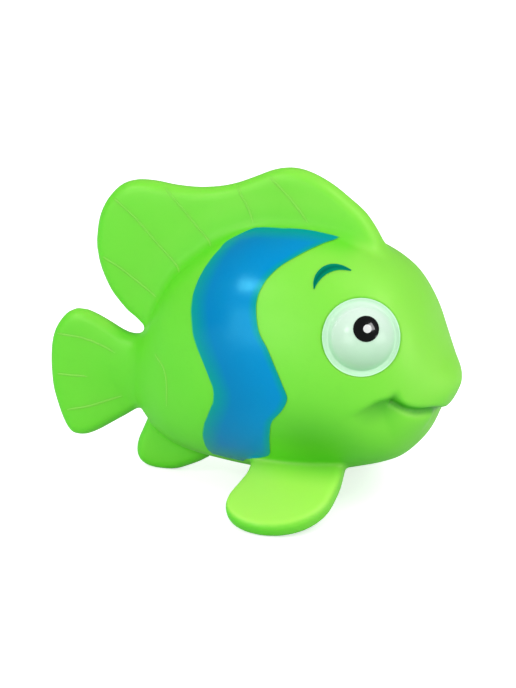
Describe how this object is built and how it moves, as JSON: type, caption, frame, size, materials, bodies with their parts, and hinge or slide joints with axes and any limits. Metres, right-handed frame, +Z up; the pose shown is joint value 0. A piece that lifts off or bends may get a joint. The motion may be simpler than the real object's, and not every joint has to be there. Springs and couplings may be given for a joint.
{
  "type": "squeaky bath toy",
  "caption": "Hollow soft vinyl fish bath toy with fins, painted bands, brows and eyes, and a snap-in reed squeaker in its belly.",
  "frame": {"origin": "middle of the toy's length and width, on the plane that its three fins stand on", "axes": "+X towards the nose, +Y towards the toy's left side, +Z up"},
  "size_m": [0.11, 0.0678, 0.084],
  "materials": {
    "green_vinyl": "satin soft vinyl",
    "blue_paint": "semi-gloss sprayed vinyl paint",
    "brow_paint": "semi-gloss sprayed vinyl paint",
    "white_paint": "semi-gloss sprayed vinyl paint",
    "black_paint": "gloss pad-printed paint",
    "squeaker_plastic": "satin moulded plastic",
    "reed_film": "thin translucent film"
  },
  "bodies": {
    "moulding": {"body_shell": "green_vinyl", "squeaker_housing": "squeaker_plastic", "squeaker_cap": "squeaker_plastic", "reed_seat": "squeaker_plastic", "reed_clamp": "squeaker_plastic"},
    "right_side": {"right_band": "blue_paint", "right_brow": "brow_paint", "right_eye_white": "white_paint", "right_pupil": "black_paint", "right_glint": "white_paint"},
    "left_side": {"left_band": "blue_paint", "left_brow": "brow_paint", "left_eye_white": "white_paint", "left_pupil": "black_paint", "left_glint": "white_paint"},
    "reed_blade": {"reed": "reed_film"}
  },
  "joints": [
    {"name": "right_squeeze", "type": "slide", "parent": "moulding", "child": "right_side", "axis": [0, 1, 0], "range_m": [0, 0.006], "stiffness_N_per_m": 300, "deforming": ["body_shell", "right_band"]},
    {"name": "left_squeeze", "type": "slide", "parent": "moulding", "child": "left_side", "axis": [0, -1, 0], "range_m": [0, 0.006], "stiffness_N_per_m": 300, "deforming": ["body_shell", "left_band"]},
    {"name": "reed_flex", "type": "hinge", "parent": "moulding", "child": "reed_blade", "pos_m": [0.008, 0, 0.01057], "axis": [-1, 0, 0], "range_deg": [-1.2, 4.5], "stiffness_Nm_per_rad": 0.0002}
  ],
  "couplings": [
    {"joint": "left_squeeze", "follows": "right_squeeze", "ratio": 1}
  ]
}
